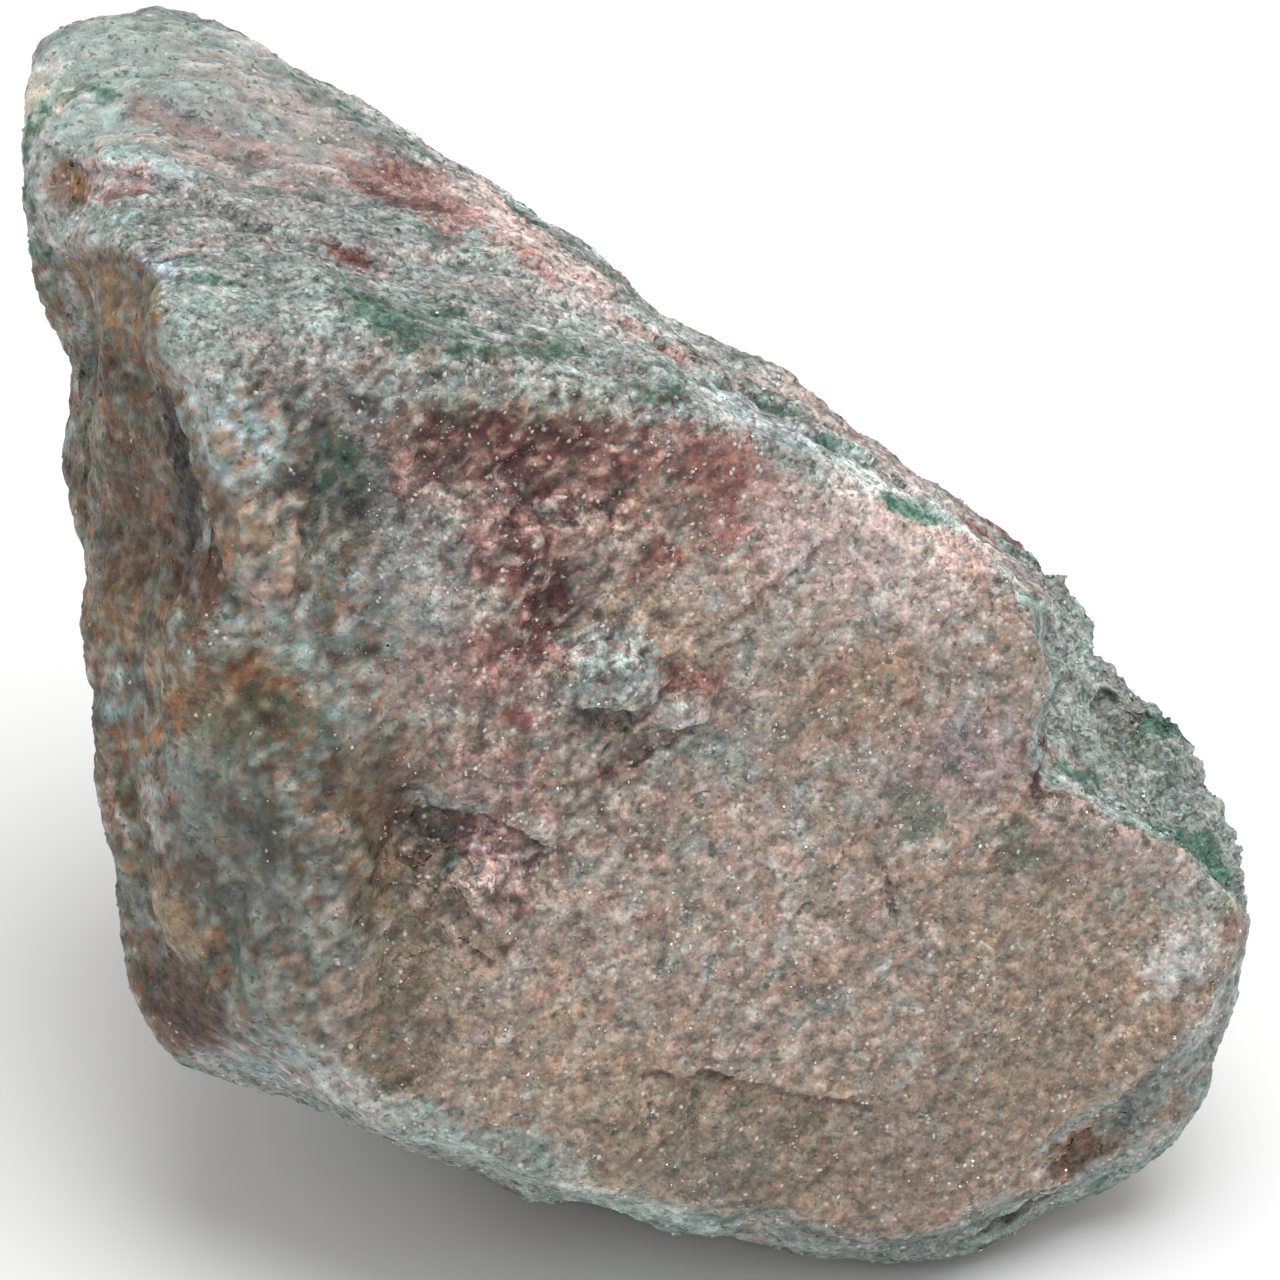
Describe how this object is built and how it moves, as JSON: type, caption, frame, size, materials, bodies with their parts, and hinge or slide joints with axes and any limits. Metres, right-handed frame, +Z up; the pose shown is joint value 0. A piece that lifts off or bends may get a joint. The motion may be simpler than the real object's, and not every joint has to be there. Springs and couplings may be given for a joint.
{
  "type": "rough aventurine stone",
  "caption": "Rough, broken lump of aventurine, a mica-bearing quartzite in pale green, maroon and salmon, with ledged bed edges and a small flat spot that it rests on.",
  "frame": {"origin": "middle of the bounding box's footprint, in the plane that the stone rests on", "axes": "+Z up, +X along the stone's longest side with the crumbling side at +X, -Y towards the viewer of the large broken face"},
  "size_m": [0.05, 0.0368, 0.0434],
  "materials": {
    "stone": "rough broken rock"
  },
  "bodies": {
    "root": {"stone": "stone"}
  },
  "joints": []
}
